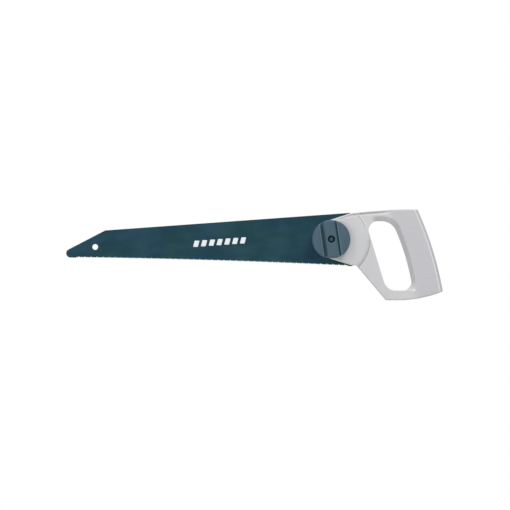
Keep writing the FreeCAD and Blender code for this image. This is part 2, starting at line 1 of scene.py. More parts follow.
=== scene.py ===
# %% [markdown]
# # An adjustable hand saw
#
# The saw has a thin steel blade that swings between the two cheeks of a cast handle, and one
# big knob that locks it. The frame holds the fixed sizes, the pivot and the moving bodies.
# Here each visible piece gets its finished surface, and each surface gets its finish.

# %% Load the frame
import json
import math

import bmesh
import bpy
import numpy as np
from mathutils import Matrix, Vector
from mathutils.geometry import delaunay_2d_cdt


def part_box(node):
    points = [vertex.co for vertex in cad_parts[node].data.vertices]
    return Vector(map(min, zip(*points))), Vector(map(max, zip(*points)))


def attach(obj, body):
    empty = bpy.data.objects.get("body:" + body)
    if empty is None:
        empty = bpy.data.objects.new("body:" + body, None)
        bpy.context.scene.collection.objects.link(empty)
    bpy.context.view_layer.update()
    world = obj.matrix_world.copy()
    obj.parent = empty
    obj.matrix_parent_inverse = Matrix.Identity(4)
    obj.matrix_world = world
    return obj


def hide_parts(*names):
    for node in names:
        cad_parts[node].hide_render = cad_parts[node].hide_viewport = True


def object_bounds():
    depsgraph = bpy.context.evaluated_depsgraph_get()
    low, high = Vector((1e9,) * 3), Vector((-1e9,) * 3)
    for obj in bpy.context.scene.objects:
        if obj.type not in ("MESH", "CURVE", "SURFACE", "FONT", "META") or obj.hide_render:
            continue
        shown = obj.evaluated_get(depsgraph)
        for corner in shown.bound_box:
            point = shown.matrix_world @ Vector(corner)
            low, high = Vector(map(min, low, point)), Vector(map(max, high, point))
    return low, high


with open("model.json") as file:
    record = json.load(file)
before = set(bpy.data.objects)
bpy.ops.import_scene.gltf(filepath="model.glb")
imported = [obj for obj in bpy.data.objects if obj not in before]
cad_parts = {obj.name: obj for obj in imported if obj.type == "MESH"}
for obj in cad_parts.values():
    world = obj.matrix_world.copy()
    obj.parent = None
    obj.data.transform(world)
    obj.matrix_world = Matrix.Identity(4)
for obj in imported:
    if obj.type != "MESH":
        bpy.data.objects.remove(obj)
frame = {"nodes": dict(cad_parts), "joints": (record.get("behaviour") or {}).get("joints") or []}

cad_box = [list(corner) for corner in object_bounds()]
pivot = next(Vector(joint["pos_m"]) for joint in frame["joints"] if joint["name"] == "blade_swing")
print("pivot at", [round(value, 4) for value in pivot])

# %% [markdown]
# Saw makers measure everything from the pivot, so each piece is drawn in millimetres about
# it: x along the saw, z up, and y away from the knob. The box of a frame's node gives the
# few places where a new piece has to agree with the pieces that stay.

# %% Places along the pivot's axis
MM = 0.001


def reach(node, axis):
    """The lowest and highest place of a node along one axis, in millimetres from the pivot."""
    low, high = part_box(node)
    return (low[axis] - pivot[axis]) / MM, (high[axis] - pivot[axis]) / MM


KNOB_FACE, HUB_END = reach("knob_moulding", 1)
INSERT_FRONT = reach("knob_insert", 1)[0]
BOLT_TIP, BOLT_TOP = reach("pivot_bolt", 1)
HALF_BLADE = reach("blade", 1)[1]
CASTING_FRONT = reach("handle_casting", 1)[0]
BUSH_FRONT, BUSH_BACK = reach("pivot_bush", 1)
BUSH_RADIUS = reach("pivot_bush", 0)[1]
print("knob from", round(KNOB_FACE, 2), "to", round(HUB_END, 2), "mm along the pivot")

# %% [markdown]
# ## Building surfaces
#
# A sawn sheet, a casting and a moulding are all flat shapes with an outline and holes, given
# some depth. Booleans on solids would leave long thin faces that shade badly. Here a piece
# is made of rings of points instead: a ring follows an outline, two rings are bridged by a
# wall, and a face is filled between rings with a Delaunay net. The net takes extra points
# wherever the surface should bend.

# %% Outlines as rows of points
WORKING_STEP = 0.1


def arc_side(begin, end, bow, step):
    """Points from begin up to end, without end, on an arc that bows to the left by bow."""
    begin, end = np.array(begin, float), np.array(end, float)
    chord = end - begin
    length = np.hypot(*chord)
    count = max(1, round(length / step))
    share = np.arange(count)[:, None] / count
    if abs(bow) < 1e-6:
        return begin + chord * share
    along = chord / length
    side = np.array([-along[1], along[0]]) * math.copysign(1, bow)
    radius = (length ** 2 / 4 + bow ** 2) / (2 * abs(bow))
    centre = (begin + end) / 2 + side * (abs(bow) - radius)
    half = 2 * math.atan2(abs(bow), length / 2)
    turn = half - 2 * half * share
    return centre + side * radius * np.cos(turn) - along * radius * np.sin(turn)


def rounded_outline(corners, step):
    """A closed row of points. Each corner is (x, z, rounding radius, bow of the next side)."""
    count = len(corners)
    sides = []
    for index, (x, z, _, bow) in enumerate(corners):
        after = corners[(index + 1) % count]
        sides.append(arc_side((x, z), after[:2], bow, WORKING_STEP))
    row = []
    for index in range(count):
        before, after, radius = sides[index - 1], sides[index], corners[index][2]
        row.append(corner_arc(before, after, radius))
        keep = round(trim(before, after, radius) / WORKING_STEP)
        following = sides[(index + 1) % count]
        rounding_after = corners[(index + 1) % count][2]
        leave = round(trim(after, following, rounding_after) / WORKING_STEP)
        row.append(after[keep:len(after) - leave])
    return even_spacing(np.vstack(row), step)


def directions(before, after):
    """The way in and the way out of the corner between two sides."""
    inward = after[0] - before[-1]
    outward = after[1] - after[0]
    return inward / np.hypot(*inward), outward / np.hypot(*outward)


def trim(before, after, radius):
    """How much of each side a corner's rounding takes away."""
    way_in, way_out = directions(before, after)
    turn = math.acos(max(-1, min(1, float(way_in @ way_out))))
    return radius * math.tan(turn / 2)


def corner_arc(before, after, radius):
    """Points of the rounding at a corner."""
    taken = round(trim(before, after, radius) / WORKING_STEP)
    if taken < 2:
        return after[:1]
    start, end = before[-taken], after[taken]
    way_in = before[-taken] - before[-taken - 1]
    way_out = after[taken + 1] - after[taken]
    way_in, way_out = way_in / np.hypot(*way_in), way_out / np.hypot(*way_out)
    turn = math.acos(max(-1, min(1, float(way_in @ way_out))))
    pull = 4 / 3 * math.tan(turn / 4) * radius
    t = np.linspace(0, 1, 40)[1:-1, None]
    return (start * (1 - t) ** 3 + (start + way_in * pull) * 3 * t * (1 - t) ** 2
            + (end - way_out * pull) * 3 * t ** 2 * (1 - t) + end * t ** 3)


def even_spacing(row, step):
    """The same closed row with its points about step apart."""
    closed = np.vstack([row, row[:1]])
    along = np.concatenate([[0], np.cumsum(np.hypot(*np.diff(closed, axis=0).T))])
    count = round(along[-1] / step)
    wanted = np.arange(count) * along[-1] / count
    return np.column_stack([np.interp(wanted, along, closed[:, axis]) for axis in (0, 1)])


def circle(radius, centre=(0, 0), count=72):
    """A closed row of points on a circle."""
    turn = np.arange(count) * 2 * math.pi / count
    return np.column_stack([centre[0] + radius * np.cos(turn), centre[1] + radius * np.sin(turn)])


print("a test circle has", len(circle(10)), "points")

# %% [markdown]
# The height of a surface usually depends on how far a place is from an edge: a rounded rim
# falls away over its last few millimetres. So the net needs two measures, the distance to a
# row of points and whether a place is inside it, for thousands of places at once.

# %% Measures for the net
PLACES_AT_ONCE = 2000
TRIANGLE_HEIGHT = 0.866


def distance_to(row, places, closed=True):
    """Distance from each place to a row of points, and the nearest stretch of the row."""
    ends = np.roll(row, -1, axis=0) if closed else row[1:]
    starts = row if closed else row[:-1]
    span = ends - starts
    size = (span ** 2).sum(1) + 1e-12
    best = np.full(len(places), 1e9)
    nearest = np.zeros(len(places), int)
    for first in range(0, len(places), PLACES_AT_ONCE):
        chunk = slice(first, first + PLACES_AT_ONCE)
        part = places[chunk, None]
        share = np.clip(((part - starts) * span).sum(2) / size, 0, 1)
        gap = np.hypot(*np.moveaxis(part - starts - span * share[..., None], 2, 0))
        nearest[chunk] = gap.argmin(1)
        best[chunk] = gap.min(1)
    return best, nearest


def inside(row, places):
    """True for each place inside a closed row."""
    found = np.zeros(len(places), bool)
    for begin, end in zip(row, np.roll(row, -1, axis=0)):
        crosses = (begin[1] > places[:, 1]) != (end[1] > places[:, 1])
        level = (places[:, 1] - begin[1]) / (end[1] - begin[1] + 1e-12)
        found ^= crosses & (places[:, 0] < begin[0] + level * (end[0] - begin[0]))
    return found


def thin_out(groups):
    """Joins groups of (places, gap), without places closer than the gap to an earlier one."""
    kept, cells = [], {}
    for places, gap in groups:
        for place in places:
            home = (int(place[0] // 1), int(place[1] // 1))
            near = [cells.get((home[0] + a, home[1] + b), ())
                    for a in (-1, 0, 1) for b in (-1, 0, 1)]
            if all(math.dist(place, other) >= gap for cell in near for other in cell):
                cells.setdefault(home, []).append(place)
                kept.append(place)
    return np.array(kept)


def triangle_grid(outline, step):
    """Evenly spread places over the box of an outline."""
    low, high = outline.min(0), outline.max(0)
    rows = np.arange(low[1], high[1], step * TRIANGLE_HEIGHT)
    columns = np.arange(low[0], high[0], step)
    return np.array([(x + step / 2 * (n % 2), z) for n, z in enumerate(rows) for x in columns])


print("a place 5 mm outside:", distance_to(circle(10), np.array([(15.0, 0.0)]))[0].round(2))

# %% [markdown]
# One class collects points and faces. It can add a ring, bridge two rings with a wall, and
# fill the face between an outline and its holes. At the end it turns millimetres about the
# pivot into the frame's metres, and makes all faces look outwards.

# %% The shell that every new piece is made of


class Shell:
    """Points in millimetres about the pivot, and the faces between them."""

    def __init__(self):
        self.points = []
        self.faces = []

    def ring(self, row, depth):
        """Adds one point for each place of a row, at one depth or at a depth each."""
        first = len(self.points)
        depths = np.broadcast_to(depth, len(row))
        self.points += [(x, y, z) for (x, z), y in zip(row, depths)]
        return list(range(first, len(self.points)))

    def wall(self, one, other, closed=True):
        """A band of faces between two rings with the same number of points."""
        count = len(one) if closed else len(one) - 1
        for here in range(count):
            there = (here + 1) % len(one)
            self.faces.append((one[here], one[there], other[there], other[here]))

    def fill(self, outline, holes=(), extra=(), depth=None):
        """A net between an outline and its holes, bent by depth over its extra places."""
        loops = [outline, *holes]
        numbers = [number for loop in loops for number in loop]
        flat = np.array([(self.points[n][0], self.points[n][2]) for n in numbers])
        edges, start = [], 0
        for loop in loops:
            edges += [(start + k, start + (k + 1) % len(loop)) for k in range(len(loop))]
            start += len(loop)
        if len(extra):
            first = len(self.points)
            self.ring(extra, depth(extra))
            numbers += range(first, len(self.points))
            flat = np.vstack([flat, extra])
        net = delaunay_2d_cdt([Vector(place) for place in flat], edges, [], 0, 1e-5, True)
        sources = [origin[0] if origin else None for origin in net[3]]
        triangles = np.array([face for face in net[2]])
        middle = np.array([tuple(place) for place in net[0]])[triangles].mean(1)
        rows = [np.array([(self.points[n][0], self.points[n][2]) for n in loop]) for loop in loops]
        wanted = inside(rows[0], middle)
        for row in rows[1:]:
            wanted &= ~inside(row, middle)
        for face in triangles[wanted]:
            corners = [numbers[sources[corner]] for corner in face]
            if len(set(corners)) == 3:
                self.faces.append(tuple(corners))

    def piece(self, name, body, node, finish, sharp=35):
        """Makes the object, which rides on a body and stands for a node of the frame."""
        mesh = bpy.data.meshes.new(name)
        scaled = [tuple(pivot + Vector(point) * MM) for point in self.points]
        mesh.from_pydata(scaled, [], self.faces)
        form = bmesh.new()
        form.from_mesh(mesh)
        bmesh.ops.remove_doubles(form, verts=form.verts, dist=1e-7)
        loose = [point for point in form.verts if not point.link_faces]
        bmesh.ops.delete(form, geom=loose, context="VERTS")
        bmesh.ops.recalc_face_normals(form, faces=form.faces)
        open_edges = sum(len(edge.link_faces) != 2 for edge in form.edges)
        form.to_mesh(mesh)
        form.free()
        mesh.polygons.foreach_set("use_smooth", [True] * len(mesh.polygons))
        mesh.set_sharp_from_angle(angle=math.radians(sharp))
        made = bpy.data.objects.new(name, mesh)
        bpy.context.collection.objects.link(made)
        mesh.materials.append(finish)
        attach(made, body)
        if node:
            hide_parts(node)
        print(name, len(mesh.polygons), "faces,", open_edges, "open edges")
        return made


# %% [markdown]
# ## Finishes
#
# A real finish is never one colour: paint has orange peel, a coating is thin on an edge, a
# moulding has a fine spark texture. Each finish below is worked out from the place on the
# surface, with small sums. Two helpers keep those sums readable: `Value` wraps one output of
# a node, so that `0.4 + 0.1 * speckle` adds the Math nodes, and `Finish.add` makes any
# other node.

# %% Helpers for finishes


class Value:
    """One output in a finish, which can be added, multiplied and compared with numbers."""

    def __init__(self, finish, socket):
        self.finish = finish
        self.socket = socket

    def combine(self, operation, first, second):
        return self.finish.add("ShaderNodeMath", {"operation": operation}, {0: first, 1: second})

    def __add__(self, other):
        return self.combine("ADD", self, other)

    def __radd__(self, other):
        return self.combine("ADD", other, self)

    def __sub__(self, other):
        return self.combine("SUBTRACT", self, other)

    def __rsub__(self, other):
        return self.combine("SUBTRACT", other, self)

    def __mul__(self, other):
        return self.combine("MULTIPLY", self, other)

    def __rmul__(self, other):
        return self.combine("MULTIPLY", other, self)

    def __lt__(self, other):
        return self.combine("LESS_THAN", self, other)

    def __gt__(self, other):
        return self.combine("GREATER_THAN", self, other)


class Finish:
    """A material under construction."""

    def __init__(self, name):
        self.material = bpy.data.materials.new(name)
        self.material.use_nodes = True
        self.tree = self.material.node_tree
        self.surface = self.tree.nodes["Principled BSDF"]

    def add(self, kind, settings=None, inputs=None, output=0):
        """Adds a node: its settings first, then the values or links of its sockets."""
        node = self.tree.nodes.new(kind)
        for name, setting in (settings or {}).items():
            if name == "stops":
                self.set_stops(node.color_ramp, setting)
            else:
                setattr(node, name, setting)
        for name, given in (inputs or {}).items():
            self.feed(node.inputs[name], given)
        return Value(self, node.outputs[output])

    def feed(self, socket, given):
        """Gives a socket a link or a number."""
        if isinstance(given, Value):
            self.tree.links.new(given.socket, socket)
        else:
            socket.default_value = given

    def set_stops(self, ramp, stops):
        """Sets the places and colours of a ramp."""
        for index, (place, colour) in enumerate(stops):
            stop = ramp.elements[index] if index < 2 else ramp.elements.new(place)
            stop.position = place
            stop.color = colour

    def place(self):
        """The place on the surface, in metres in the frame at rest."""
        return self.add("ShaderNodeTexCoord", output=3)

    def axis(self, index):
        """One coordinate of the place, in metres from the pivot."""
        return self.add("ShaderNodeSeparateXYZ", {}, {0: self.place()}, index) - pivot[index]

    def noise(self, scale, detail=3.0, roughness=0.5, stretch=(1, 1, 1)):
        """Even noise from 0 to 1; stretch pulls it out along an axis."""
        spread = self.add("ShaderNodeVectorMath", {"operation": "MULTIPLY"},
                          {0: self.place(), 1: tuple(scale * part for part in stretch)})
        inputs = {"Vector": spread, "Scale": 1.0, "Detail": detail, "Roughness": roughness}
        return self.add("ShaderNodeTexNoise", {}, inputs)

    def steps(self, value, low, high):
        """Runs smoothly from 0 to 1 as the value goes from low to high."""
        settings = {"interpolation_type": "SMOOTHSTEP"}
        inputs = {"Value": value, "From Min": low, "From Max": high}
        return self.add("ShaderNodeMapRange", settings, inputs)

    def blend(self, share, one, other):
        """A colour between two colours."""
        return self.add("ShaderNodeMix", {"data_type": "RGBA"}, {0: share, 6: one, 7: other}, 2)

    def relief(self, height, distance, strength=1.0):
        """A normal bent by a height, which is worth the distance in metres."""
        inputs = {"Height": height, "Distance": distance, "Strength": strength}
        return self.add("ShaderNodeBump", {}, inputs)

    def coat(self, **sockets):
        """Feeds the surface shader, with _ for a space in a socket's name."""
        for name, given in sockets.items():
            self.feed(self.surface.inputs[name.replace("_", " ")], given)
        return self.material


def shade(red, green, blue):
    """A colour as a paint chart gives it, from 0 to 255, as the shader wants it."""
    parts = [part / 255 for part in (red, green, blue)]
    linear = [part / 12.92 if part < 0.04045 else ((part + 0.055) / 1.055) ** 2.4 for part in parts]
    return (*linear, 1)


print("mid grey in the shader:", round(shade(128, 128, 128)[0], 3))

# %% [markdown]
# ### Blade coating
#
# The blade has a dark teal, low-friction coating baked on steel. It is thin, so it takes on
# the fine grinding of the sheet, it clouds a little, and it is ground away at the teeth.
# The bare steel follows the height above the tooth line, which rises gently to the tip.

# %% Blade coating
TOOTH_SLOPE = math.radians(1.7)
HALF_WIDTH = 35.0
END_RADIUS = 46.0
TOOTH_START = 356.5
TOOTH_PITCH = 2.82
TOOTH_COUNT = 135
TOOTH_HOLLOW = 1.4
TOOTH_SINK = 1.3
BARE_FROM, BARE_TO = 0.45, 1.15
ROW_MARGIN = 0.6


def tooth_line(x):
    """Height of the tooth tips over x, in millimetres: a rising line with a slight hollow."""
    share = x * (-1 / TOOTH_START)
    hollow = share * (1 - share) * (4 * TOOTH_HOLLOW)
    return hollow - x * math.tan(TOOTH_SLOPE) - (HALF_WIDTH + TOOTH_SINK)


def ground_teeth(finish):
    """The bare tips: every third tooth leans to the front, and every third to the back."""
    x = finish.axis(0) * (1 / MM)
    number = (x + TOOTH_START) * (1 / (3 * TOOTH_PITCH)) + 1 / 6
    turn = finish.add("ShaderNodeMath", {"operation": "FRACT"}, {0: number})
    front = (turn < 1 / 3) * (finish.axis(1) < 0)
    back = (turn > 1 / 3) * (turn < 2 / 3) * (finish.axis(1) > 0)
    height = finish.axis(2) * (1 / MM) - tooth_line(x)
    row_end = TOOTH_COUNT * TOOTH_PITCH - TOOTH_START - ROW_MARGIN
    toothed = (x > ROW_MARGIN - TOOTH_START) * (x < row_end)
    return (1 - finish.steps(height, BARE_FROM, BARE_TO)) * (front + back) * toothed


def blade_coating():
    finish = Finish("blade_coating")
    clouds = finish.noise(19, 2.0, 0.6, (1, 1, 1.8))
    hue = finish.noise(11, 1.0, 0.5, (1, 1, 2.5))
    streaks = finish.noise(900, 2.0, 0.7, (1, 1, 0.06))
    speckle = finish.noise(2600, 1.0)
    cool = finish.blend(finish.steps(clouds, 0.35, 0.7), shade(20, 57, 74), shade(34, 69, 86))
    green = finish.blend(finish.steps(clouds, 0.35, 0.7), shade(23, 61, 70), shade(37, 72, 80))
    base = finish.blend(finish.steps(hue, 0.38, 0.62), cool, green)
    base = finish.blend(0.15 * streaks, base, shade(52, 88, 100))
    bare = ground_teeth(finish)
    colour = finish.blend(bare, base, shade(214, 218, 220))
    rough = 0.42 + 0.12 * clouds + 0.08 * speckle - 0.1 * bare
    normal = finish.relief(streaks * 0.7 + speckle * 0.3, 0.00003, 0.7)
    finish.coat(Base_Color=colour, Roughness=rough, Metallic=0.8 * bare, Normal=normal)
    return finish.coat(Specular_IOR_Level=0.14)


# %% [markdown]
# ### Painted casting
#
# A die casting gets a silver-grey powder paint. Powder flows before it sets, so the surface
# keeps a shallow orange peel, with finer grains of pigment in it. The grip is painted a little
# darker as painted shade, and the ridge along the grip's back gets a painted highlight, with a
# band of painted shade between it and the back edge. One bright spot near the lower corner of
# the finger opening is where an ejector pin pushed the casting out.

# %% Painted casting
PIN_MARK = (115.9, -71.1)
PIN_RADIUS = 2.25
GRIP_TOP, GRIP_LOW, GRIP_BOW = (120.9, 41.9), (156.5, -72.9), 3.8


def grip_arc():
    """Centre and radius of the bowed edge along the grip's back."""
    top, low = np.array(GRIP_TOP), np.array(GRIP_LOW)
    chord = low - top
    length = np.hypot(*chord)
    radius = (length ** 2 / 4 + GRIP_BOW ** 2) / (2 * GRIP_BOW)
    side = np.array([-chord[1], chord[0]]) / length
    return (top + low) / 2 - side * (radius - GRIP_BOW), float(radius)


ARC_CENTRE, ARC_RADIUS = grip_arc()


def from_grip_back(finish):
    """Distance in millimetres from the grip's back edge."""
    across = finish.axis(0) * (1 / MM) - float(ARC_CENTRE[0])
    up = finish.axis(2) * (1 / MM) - float(ARC_CENTRE[1])
    radius = finish.add("ShaderNodeMath", {"operation": "SQRT"}, {0: across * across + up * up})
    return ARC_RADIUS - radius


def pin_mark(finish):
    across = finish.axis(0) * (1 / MM) - PIN_MARK[0]
    up = finish.axis(2) * (1 / MM) - PIN_MARK[1]
    return (1 - finish.steps(across * across + up * up, 3.0, 5.6)) * (finish.axis(1) < 0)


def painted_casting():
    finish = Finish("painted_casting")
    peel = finish.noise(420, 2.0, 0.45)
    grain = finish.noise(2400, 2.0, 0.6)
    cloud = finish.noise(22, 2.0)
    tone = finish.blend(finish.steps(cloud, 0.3, 0.7), shade(203, 203, 205), shade(208, 208, 209))
    back = from_grip_back(finish)
    # Painted shade: the grip is painted a little darker and bluer within about 40 mm of its back
    # edge.
    grip_shade = (1 - finish.steps(back, 32, 42)) * (0.7 + 0.3 * cloud)
    tone = finish.blend(grip_shade, tone, shade(195, 195, 199))
    colour = finish.blend(finish.steps(grain, 0.62, 0.8) * 0.35, tone, shade(222, 222, 225))
    # Painted shade: a darker band over the last 3 mm before the grip's back edge.
    colour = finish.blend(0.5 * (1 - finish.steps(back, 2.8, 3.6)), colour, shade(180, 180, 184))
    # Painted highlight: a pale line on the ridge about 4 mm in from the grip's back edge.
    ridge = finish.steps(back, 3.0, 4.0) * (1 - finish.steps(back, 4.4, 5.6))
    colour = finish.blend(ridge * (0.45 + 0.5 * cloud), colour, shade(238, 238, 239))
    colour = finish.blend(pin_mark(finish) * 0.75, colour, shade(240, 240, 240))
    rough = 0.42 + 0.12 * peel + 0.08 * grain
    normal = finish.relief(peel * 0.75 + grain * 0.25, 0.00006, 0.5)
    return finish.coat(Base_Color=colour, Roughness=rough, Normal=normal, Metallic=0.1)


# %% [markdown]
# ### Moulded plastic
#
# The knob is a grey-blue moulding. Its tool was spark-eroded, which leaves an even, fine
# grain. The two narrow lips beside the grip bar are painted paler, as painted highlights.

# %% Moulded plastic
BAR_TILT = math.radians(8.5)


def knob_plastic():
    finish = Finish("knob_plastic")
    grain = finish.noise(1500, 3.0, 0.65)
    flow = finish.noise(60, 2.0, 0.5, (1, 1, 0.35))
    colour = finish.blend(finish.steps(flow, 0.3, 0.7), shade(62, 90, 104), shade(72, 96, 110))
    colour = finish.blend(0.25 * finish.steps(grain, 0.55, 0.8), colour, shade(92, 116, 128))
    across = finish.axis(0) * (math.cos(BAR_TILT) / MM) + finish.axis(2) * (math.sin(BAR_TILT) / MM)
    # Painted highlights: pale stripes on the two narrow lips beside the grip bar.
    lip_highlights = (across > -14.3) * (across < -13.0) + (across > 10.4) * (across < 11.7)
    lip_highlights = lip_highlights * (finish.axis(1) < -0.02)
    colour = finish.blend(lip_highlights * (0.35 + 0.4 * flow), colour, shade(116, 142, 150))
    rough = 0.44 + 0.14 * grain
    normal = finish.relief(grain, 0.00004, 0.5)
    return finish.coat(Base_Color=colour, Roughness=rough, Normal=normal, Specular_IOR_Level=0.35)


# %% [markdown]
# ### Metals
#
# The small metal pieces differ only in colour and in how they were worked: turned or ground
# pieces carry fine lines, and zinc plate has faint clouds. One recipe takes both.

# %% Metals


def worked_metal(name, colour, lighter, rough, clouds, lines):
    finish = Finish(name)
    patches = finish.noise(160, 3.0, 0.6)
    fine = finish.noise(3200, 2.0, 0.6, (1, 0.08, 1))
    tint = finish.blend(finish.steps(patches, 0.3, 0.75) * clouds, shade(*colour), shade(*lighter))
    gloss = rough + 0.12 * patches
    normal = finish.relief(fine, 0.00002, lines)
    return finish.coat(Base_Color=tint, Roughness=gloss, Metallic=1.0, Normal=normal)


def white_print():
    finish = Finish("white_print")
    film = finish.noise(900, 2.0, 0.6)
    colour = finish.blend(finish.steps(film, 0.3, 0.8), shade(228, 233, 236), shade(244, 246, 248))
    return finish.coat(Base_Color=colour, Roughness=0.45 + 0.1 * film)


BLADE_COATING = blade_coating()
CASTING_PAINT = painted_casting()
KNOB_PLASTIC = knob_plastic()
WHITE_PRINT = white_print()
ZINC = worked_metal("zinc_plate", (178, 180, 180), (214, 212, 204), 0.28, 0.8, 0.3)
BRIGHT_STEEL = worked_metal("bright_steel", (186, 184, 180), (206, 205, 202), 0.22, 0.5, 0.6)
SPRING_STEEL = worked_metal("spring_steel", (112, 112, 114), (142, 141, 140), 0.34, 0.6, 0.4)
BLACK_STEEL = worked_metal("black_steel", (62, 84, 98), (84, 108, 122), 0.4, 0.7, 0.5)
print(len(bpy.data.materials), "finishes")

# %% [markdown]
# ## The blade
#
# The blade is a flat, tapered steel sheet whose straight edges run on past the pivot to a
# round end inside the handle. A sheet is easy; the teeth make it a saw. They stand in threes:
# one leans to the front, one to the back, and one stands straight and a little lower to rake
# out the dust, with a deeper gullet in front of it. Only the side that a tooth leans to
# carries its point.

# %% Sizes of the blade
BACK_SLOPE = math.radians(4.1)
NOSE_SLOPE = math.radians(27.4)
NOSE_REACH = 315.7
TIP_RADIUS = 6.0
NOSE_ROUND = 4.0
TOOTH_DEPTH = 1.3
RAKER_DEPTH = 2.1
TOOTH_LEAN = 1.15
TOOTH_SET = 0.2
TOOTH_POINT = 0.55
RAKER_DROP = 0.25
PLATE_LINE = 3.4
EDGE_BREAK = 0.2
HANG_HOLE = (-329.7, -10.8)
HANG_RADIUS = 4.0
INDEX_CIRCLE, INDEX_RADIUS, INDEX_COUNT = 17.0, 2.2, 16
RUNNING_GAP = 0.05


def blade_edge():
    """The sheet's edge from the first tooth round the tip, the back and the round end."""
    back = HALF_WIDTH / math.cos(BACK_SLOPE)
    low = HALF_WIDTH / math.cos(TOOTH_SLOPE) + TOOTH_SINK
    nose_z = back - NOSE_REACH * math.tan(BACK_SLOPE)
    apex = NOSE_REACH * math.tan(NOSE_SLOPE) + nose_z + low
    apex /= math.tan(NOSE_SLOPE) + math.tan(TOOTH_SLOPE)
    run = math.sqrt(END_RADIUS ** 2 - HALF_WIDTH ** 2)
    top_x = run * math.cos(BACK_SLOPE) - HALF_WIDTH * math.sin(BACK_SLOPE)
    top = (top_x, back + top_x * math.tan(BACK_SLOPE))
    foot = (run, tooth_line(run))
    corners = [
        (-apex, apex * math.tan(TOOTH_SLOPE) - low, TIP_RADIUS, 0),
        (-NOSE_REACH, nose_z, NOSE_ROUND, 0),
        (*top, 0, END_RADIUS - (top[0] + foot[0]) / 2),
        (*foot, 0, 0),
    ]
    shape = rounded_outline(corners, 0.8)
    toothed = (shape[:, 0] > -TOOTH_START - 1) & (shape[:, 0] < foot[0] - 1)
    toothed &= shape[:, 1] < tooth_line(shape[:, 0]) + 2
    start = int(np.flatnonzero(toothed)[-1]) + 1
    return np.roll(shape, -start, axis=0)[~np.roll(toothed, -start)]


def inset(row, distance):
    """The same open row moved to the right of its direction, so into the piece."""
    along = np.gradient(row, axis=0)
    along /= np.hypot(*along.T)[:, None]
    return row + np.column_stack([along[:, 1], -along[:, 0]]) * distance


edge = blade_edge()
print(len(edge), "points round the plain edge,", TOOTH_COUNT, "teeth")

# %% [markdown]
# The plain sheet is one flat face in front and one behind, with a narrow broken edge between
# them that catches the light. The teeth hang from the sheet's lower side. A tooth is only
# five points on each side of the sheet, but its point lies on the side that it leans to.

# %% The blade with its teeth


def make_blade():
    shell = Shell()
    tips = -TOOTH_START + TOOTH_PITCH * np.arange(TOOTH_COUNT + 1)
    ends = np.array([(tips[0], tooth_line(tips[0])), (tips[-1], tooth_line(tips[-1]))])
    rim = np.vstack([ends[:1], edge, ends[1:]])
    face = inset(rim, EDGE_BREAK)
    face[0], face[-1] = ends
    lower = np.column_stack([tips, tooth_line(tips) + PLATE_LINE])
    depths = np.full(len(rim), HALF_BLADE - EDGE_BREAK * 0.8)
    depths[[0, -1]] = HALF_BLADE
    sides = []
    for side in (-1, 1):
        flat = shell.ring(face, side * HALF_BLADE)
        outer = shell.ring(rim, side * depths)
        shell.wall(flat, outer, closed=False)
        line = shell.ring(lower, side * HALF_BLADE)
        holes = blade_holes(shell, side)
        shell.fill(flat + line[::-1], [hole[0] for hole in holes])
        sides.append((flat, outer, line, holes))
    front, behind = sides
    shell.wall(front[1], behind[1], closed=False)
    for one, other in zip(front[3], behind[3]):
        shell.wall(one[-1], other[-1])
    add_teeth(shell, front, behind, tips)
    return shell.piece("saw_blade", "blade", "blade", BLADE_COATING, 20)


def blade_holes(shell, side):
    """The rings of each hole on one side of the sheet, from its face inwards."""
    rims = [(HANG_HOLE, HANG_RADIUS, 48), ((0, 0), BUSH_RADIUS + RUNNING_GAP, 48)]
    for number in range(INDEX_COUNT):
        turn = 2 * math.pi * number / INDEX_COUNT
        centre = (INDEX_CIRCLE * math.cos(turn), INDEX_CIRCLE * math.sin(turn))
        rims.append((centre, INDEX_RADIUS, 24))
    holes = []
    for centre, radius, count in rims:
        face = shell.ring(circle(radius + EDGE_BREAK / 2, centre, count), side * HALF_BLADE)
        bore = shell.ring(circle(radius, centre, count), side * (HALF_BLADE - EDGE_BREAK / 2))
        shell.wall(face, bore)
        holes.append((face, bore))
    return holes


def add_teeth(shell, front, behind, tips):
    """Teeth between the sheet's lower line and the tips, in threes."""
    points = []
    for side, (flat, _, line, _) in ((-1, front), (1, behind)):
        lean = np.array([(-1, 1, 0)[number % 3] for number in range(len(tips))])
        sharp = tooth_line(tips) + np.where(lean == side, 0, TOOTH_POINT)
        sharp -= np.where(lean == 0, TOOTH_POINT - RAKER_DROP, 0)
        depth = side * HALF_BLADE + lean * TOOTH_SET
        tooth = shell.ring(np.column_stack([tips, sharp]), depth)
        tooth[0], tooth[-1] = flat[0], flat[-1]
        bottoms = tips[:-1] + TOOTH_LEAN
        depths = (TOOTH_DEPTH, RAKER_DEPTH, TOOTH_DEPTH)
        deep = np.array([depths[number % 3] for number in range(TOOTH_COUNT)])
        gullet = np.column_stack([bottoms, tooth_line(bottoms) + deep])
        low = shell.ring(gullet, side * HALF_BLADE)
        points.append((tooth, low, line))
        for here in range(TOOTH_COUNT):
            shell.faces.append((line[here], tooth[here], low[here]))
            shell.faces.append((line[here], low[here], line[here + 1]))
            shell.faces.append((line[here + 1], low[here], tooth[here + 1]))
    (tooth, low, _), (back_tooth, back_low, _) = points
    for here in range(TOOTH_COUNT):
        shell.faces.append((tooth[here], low[here], back_low[here], back_tooth[here]))
        shell.faces.append((low[here], tooth[here + 1], back_tooth[here + 1], back_low[here]))


blade = make_blade()

# %% [markdown]
# A saw's blade carries a printed mark. This one is a plain row of slanted white bars. Print
# is a film of ink, so the bars are very thin plates that lie on the coating.

# %% Printed bars
PRINT_CENTRE = (-155.5, -3.9)
PRINT_BARS, BAR_WIDTH, BAR_HEIGHT, BAR_STEP = 7, 6.6, 8.6, 10.9
BAR_SLANT = 2.4
BAR_ROUND = 0.7
INK, INK_GAP = 0.03, 0.002


